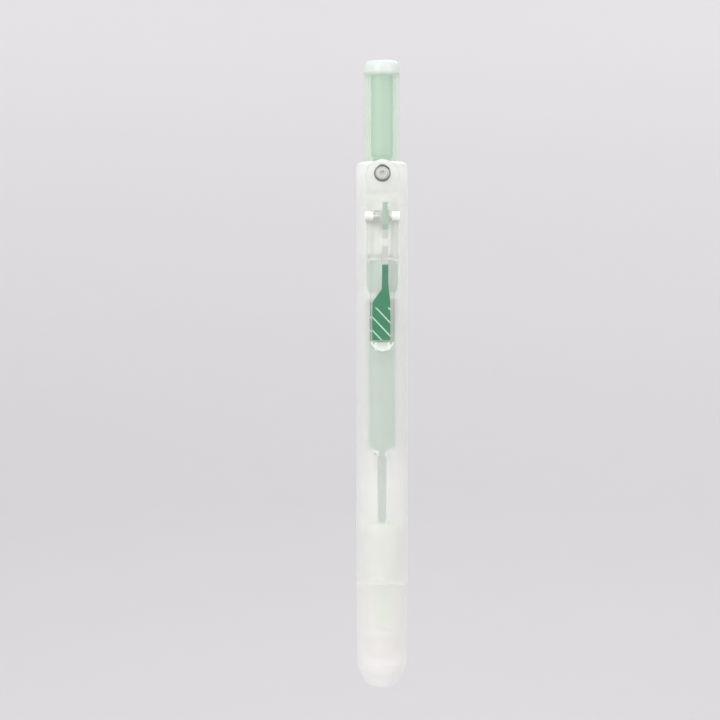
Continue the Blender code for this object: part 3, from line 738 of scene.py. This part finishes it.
def make_clip():
    """The clear lever. It casts no shadow, so that the lamps reach what lies behind it."""
    knuckle_half, knuckle_r = 1.75, 1.2
    face = clip_front_y(PIVOT_Z) + CLIP_CORE
    plate_back = clip_front_y(PIVOT_Z) + CLIP_THICK
    extras = [clip_rail(-1), clip_rail(1)]
    extras.append(rod(knuckle_r, -knuckle_half, knuckle_half, "X", (PIVOT_Y, PIVOT_Z)))
    extras.append(block(-knuckle_half, knuckle_half, face, PIVOT_Y, PIVOT_Z - knuckle_r,
                        PIVOT_Z + knuckle_r))
    extras.append(clip_grip())
    clip = joined(loft([clip_section(z) for z in clip_heights()]), extras)
    slot = block(STEM_LEFT - 0.25, STEM_RIGHT + 0.2, plate_back, plate_back + 0.56, PIVOT_Z - 2,
                 PIVOT_Z + 2, 0)
    clip = joined(clip, [slot], "DIFFERENCE")

    def part_of_clip(centre):
        """0 for the clear plate, 1 for the knuckle, 2 for the foot and the tip's rim, which are painted
        whiter as a painted highlight.
        """
        behind = centre.y > clip_front_y(centre.z) + CLIP_THICK + 0.02
        if behind and abs(centre.z - PIVOT_Z) < knuckle_r + 0.4:
            return 1
        if behind and centre.z < GRIP_Z + 1.2:
            return 2
        below = max(0.0, CLIP_FOOT + SLIM - centre.z)
        return 2 if below > 0.6 and math.hypot(centre.x, below) > SLIM - 0.5 else 0

    lever = finish_piece("clip_lever", clip, [CLIP_CLEAR, CLIP_LUG, CLIP_PAINTED_HIGHLIGHT], "clip", "clip",
                         pick=part_of_clip)
    lever.visible_shadow = False


def make_inlay():
    """The printed strip behind the clip: a plate below, a stem above and a small tab at its top."""
    gap, thick = 0.12, 0.28
    middle = (STEM_LEFT + STEM_RIGHT) / 2
    plate_left, plate_right, neck_half = -2.2, 1.75, 0.35
    outline = [(77.4, plate_left, plate_right), (85.7, plate_left, plate_right)]
    outline += [(88.7, STEM_LEFT - 0.05, STEM_RIGHT + 0.1), (90.5, STEM_LEFT, STEM_RIGHT)]
    outline += [(106.2, STEM_LEFT, STEM_RIGHT), (107.0, middle - neck_half, middle + neck_half)]
    outline += [(107.8, STEM_LEFT, STEM_RIGHT)]
    rows = []
    for (z0, l0, r0), (z1, l1, r1) in zip(outline, outline[1:]):
        steps = max(2, int((z1 - z0) * 2))
        for i in range(steps):
            t = i / steps
            rows.append((z0 + (z1 - z0) * t, l0 + (l1 - l0) * t, r0 + (r1 - r0) * t))
    rows.append(outline[-1])
    sections = []
    for z, left, right in rows:
        face = clip_front_y(z) + CLIP_THICK + gap
        back = face + thick
        sections.append([(left, face, z), (right, face, z), (right, back, z), (left, back, z)])
    finish_piece("inlay_strip", loft(sections), INLAY, "clip", "clip_inlay")


# ------------------------------------------------------------------ studio

# The paper is painted darker towards the bottom of the dish and paler up its wall: painted shade and
# painted light.
PAPER_PAINTED_SHADE = [(0.0, (0.575, 0.56, 0.573)), (0.12, (0.655, 0.638, 0.652)), (0.35, (0.75, 0.732, 0.742)),
         (0.9, (0.82, 0.80, 0.81))]


def make_stage():
    """A seamless dish under and around the pen, which hangs free so that its nib can come out."""
    drop, width, height = 60.0, 1900.0, 1000.0
    rows, sides = 40, 96
    bm = bmesh.new()
    rings = []
    for row in range(rows + 1):
        share = row / rows
        r = width * share
        z = height * share ** 2.4 - drop
        spokes = range(sides if row else 1)
        angles = [2 * math.pi * i / sides for i in spokes]
        rings.append([bm.verts.new(Vector((r * math.cos(a), r * math.sin(a), z)) * MM) for a in angles])
    for low, high in zip(rings, rings[1:]):
        for i in range(sides):
            j = (i + 1) % sides
            corners = [low[i % len(low)], low[j % len(low)], high[j], high[i]]
            bm.faces.new(list(dict.fromkeys(corners)))
    mesh = bpy.data.meshes.new("studio_floor")
    bm.to_mesh(mesh)
    bm.free()
    mesh.shade_smooth()
    floor = bpy.data.objects.new("studio_floor", mesh)
    bpy.context.scene.collection.objects.link(floor)
    n = Nodes("studio_paper_painted_shade")
    # Painted shade: the paper's colour darkens towards the bottom of the dish.
    n.link(n.ramp(n.height(0.0, height, 0.02), PAPER_PAINTED_SHADE), n.shader.inputs["Base Color"])
    n.value("Roughness", 0.9)
    mesh.materials.append(n.material)


def area_light(name, place, target, size, power):
    """A round soft lamp whose narrow spread keeps it off the floor. Places are in metres."""
    data = bpy.data.lights.new(name, "AREA")
    data.shape = "DISK"
    data.size = size
    data.spread = math.radians(50.0)
    data.energy = power
    light = bpy.data.objects.new(name, data)
    bpy.context.scene.collection.objects.link(light)
    light.location = place
    aim = Vector(target) - Vector(place)
    light.rotation_mode = "QUATERNION"
    light.rotation_quaternion = aim.to_track_quat("-Z", "Y")


def make_lights():
    """A soft key, a softer fill, a light from behind and an even pale surrounding."""
    middle = (0.0, 0.0, 0.07)
    size = 0.7
    area_light("key", (-0.7, -1.0, 0.45), middle, size, 0.75)
    area_light("fill", (0.8, -0.9, 0.3), middle, size, 0.52)
    area_light("back", (0.3, 1.1, 0.9), middle, size, 0.3)
    world = bpy.data.worlds.new("studio_air")
    bpy.context.scene.world = world
    world.use_nodes = True
    background = world.node_tree.nodes["Background"]
    background.inputs["Color"].default_value = (0.985, 0.99, 1.0, 1.0)
    background.inputs["Strength"].default_value = 1.1


def make_camera():
    """Level with the middle of the pen, square to the clip, a little left of the pen."""
    distance, aim_x, aim_z, shown_width = 450.0, -4.94, 73.0, 161.8
    sensor = 36.0
    data = bpy.data.cameras.new("camera")
    data.sensor_width = sensor
    data.lens = sensor * distance / shown_width
    data.clip_start = 0.01
    camera = bpy.data.objects.new("camera", data)
    bpy.context.scene.collection.objects.link(camera)
    camera.location = (AXIS + Vector((aim_x, -distance, aim_z))) * MM
    camera.rotation_euler = (math.radians(90.0), 0.0, 0.0)
    bpy.context.scene.camera = camera


# ------------------------------------------------------------------ materials in use

FROSTED_TONE = (0.97, 0.985, 0.93)
FROSTED = plastic("frosted_clear", FROSTED_TONE, 0.42, alpha=0.3, sheen=1.0)
FROSTED_COLLAR = graded_plastic("frosted_collar", [(0.0, FROSTED_TONE), (1.0, (0.98, 0.99, 0.955))], 0.42,
                                0.9, COLLAR_FADE, (0.3, 0.66))
FROSTED_SOLID = plastic("frosted_solid", (0.85, 0.87, 0.82), 0.3, alpha=0.98)
# The peg's dimple is painted darker than the peg: painted shade in the recess.
PEG_DIMPLE_PAINTED_SHADE = plastic("peg_dimple_painted_shade", (0.60, 0.62, 0.58), 0.3)
# The front section is painted whiter towards the end of its nose: painted light.
MILKY_PAINTED_LIGHT_TONES = [(0.0, (1.0, 1.0, 0.98)), (0.3, (0.98, 0.965, 0.925)), (0.7, (0.94, 0.927, 0.88))]
MILKY = graded_plastic("milky_white", MILKY_PAINTED_LIGHT_TONES, 0.42, 0.9, (0.0, 30.0), (0.54, 0.54))
BUTTON_TONE = (0.78, 0.95, 0.76)
BUTTON_CLEAR = plastic("button_clear", BUTTON_TONE, 0.4, alpha=0.25, sheen=0.3)
BUTTON_CAP = graded_plastic("button_cap", [(0.0, BUTTON_TONE), (1.0, (0.76, 0.81, 0.77))], 0.37, 0.25,
                            CAP_FADE, (0.25, 0.88))
CORE_GREEN = plastic("core_green", (0.32, 0.47, 0.38), 0.45)
GREY_GREEN = plastic("cam_grey_green", (0.65, 0.72, 0.64), 0.4)
MID_GREEN = plastic("rotor_green", (0.13, 0.38, 0.22), 0.4)
GUIDE = plastic("guide_clear", (0.95, 0.96, 0.93), 0.3, alpha=0.06)
TANK_CLEAR = plastic("tank_clear", (0.97, 0.98, 0.97), 0.06, transmission=1.0, grain_depth=0.000001)
INK = plastic("ink_green", (0.24, 0.62, 0.41), 0.1, grain_depth=0.0, ior=1.34)
WICK = felt("wick_green", (0.17, 0.32, 0.22))
HOLDER = plastic("holder_milky", (0.62, 0.64, 0.58), 0.25, alpha=0.07)
PLUG = plastic("plug_white", (0.90, 0.90, 0.88), 0.4)
NIB = felt("nib_green", (0.25, 0.95, 0.22))
CARRIER_RUBBER = rubber("carrier_rubber", (0.70, 0.70, 0.67))
RING_RUBBER = rubber("ring_rubber", (0.75, 0.75, 0.72))
FLAP_RUBBER = rubber("flap_rubber", (0.68, 0.68, 0.65))
STEEL = steel("spring_steel", (0.80, 0.80, 0.80), 0.3)
DARK_STEEL = steel("coil_steel", (0.25, 0.25, 0.25), 0.35)
PIN_STEEL = steel("pin_steel", (0.92, 0.92, 0.92), 0.3)
CLIP_CLEAR = plastic("clip_clear", (0.995, 0.995, 0.99), 0.04, transmission=1.0, grain_depth=0.0000008,
                     ior=1.3)
CLIP_LUG = plastic("clip_lug", (0.86, 0.86, 0.80), 0.25, alpha=0.45)
# The clip's foot and the rim of its tip are painted whiter and denser than the clear plate: a painted
# highlight.
CLIP_PAINTED_HIGHLIGHT = plastic("clip_painted_highlight", (0.86, 0.93, 0.86), 0.25, alpha=0.6, sheen=0.4)

# The inlay's print: heights in millimetres, and colours.
PRINT_LOW, PRINT_HIGH = 77.0, 109.0
DEEP, FRESH = (0.055, 0.2, 0.122), (0.027, 0.19, 0.087)
PALE, LIGHT = (0.51, 0.52, 0.49), (0.64, 0.65, 0.62)
SHADE, DULL = (0.26, 0.38, 0.28), (0.35, 0.44, 0.355)
LINE_TONE = (0.46, 0.62, 0.53)
LINE_SCALE = 230.0       # how close together the slanted lines are
LINE_CREST = 0.955       # nearer to 1 makes them thinner
LINES_TOP = 84.6         # the slanted lines end here
PRINT_ZONES = [(PRINT_LOW, FRESH), (87.5, FRESH), (90.0, DEEP), (94.0, DEEP), (94.3, PALE), (98.2, PALE),
               (98.4, LIGHT), (99.8, LIGHT), (100.0, PALE), (101.8, PALE), (101.9, SHADE), (102.9, SHADE),
               (103.1, DULL), (PRINT_HIGH, DULL)]


def printed_inlay():
    """Green print: tint zones along the stem and thin slanted lines on the plate."""
    n = Nodes("inlay_green")
    n.value("Roughness", 0.45)
    tall = PRINT_HIGH - PRINT_LOW
    stops = [((z - PRINT_LOW) / tall, colour) for z, colour in PRINT_ZONES]
    print_colour = n.ramp(n.height(PRINT_LOW, PRINT_HIGH, 0.006, GRAIN_SCALE), stops)
    wave = n.add("ShaderNodeTexWave", wave_type="BANDS", bands_direction="DIAGONAL")
    wave.inputs["Scale"].default_value = LINE_SCALE
    n.link(n.where, wave.inputs["Vector"])
    line = n.add("ShaderNodeMath", operation="GREATER_THAN")
    line.inputs[1].default_value = LINE_CREST
    n.link(wave.outputs["Fac"], line.inputs[0])
    place = n.add("ShaderNodeSeparateXYZ")
    n.link(n.where, place.inputs["Vector"])
    low = n.add("ShaderNodeMath", operation="LESS_THAN")
    low.inputs[1].default_value = LINES_TOP * MM
    n.link(place.outputs["Z"], low.inputs[0])
    shown = n.add("ShaderNodeMath", operation="MULTIPLY")
    n.link(line.outputs["Value"], shown.inputs[0])
    n.link(low.outputs["Value"], shown.inputs[1])
    mixed = n.add("ShaderNodeMix", data_type="RGBA")
    n.link(shown.outputs["Value"], mixed.inputs[0])
    n.link(print_colour, mixed.inputs[6])
    mixed.inputs[7].default_value = (*LINE_TONE, 1.0)
    n.link(mixed.outputs[2], n.shader.inputs["Base Color"])
    n.bump(n.noise(GRAIN_SCALE, 2.0, 0.6), 0.000003, 0.5)
    return n.material


INLAY = printed_inlay()
FINISHES = {"thrust_cam": GREY_GREEN, "cam_rotor": MID_GREEN, "cam_guide": GUIDE, "clip_pin": PIN_STEEL,
            "seal_carrier": CARRIER_RUBBER, "shutter_left": FLAP_RUBBER, "shutter_right": FLAP_RUBBER}


def paint_nodes():
    """CAD nodes that keep their own mesh get their finished material."""
    for node, material in FINISHES.items():
        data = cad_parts[node].data
        for i in range(len(data.materials)):
            data.materials[i] = material


make_camera()
make_lights()
make_stage()
make_barrel()
make_front_section()
make_button()
make_tank()
make_wick()
make_nib_holder()
make_tail_plug()
make_nib()
make_return_spring()
make_clip_spring()
make_clip()
make_inlay()
paint_nodes()

scene = bpy.context.scene
scene.view_settings.view_transform = "Standard"
scene.cycles.transparent_max_bounces = 32
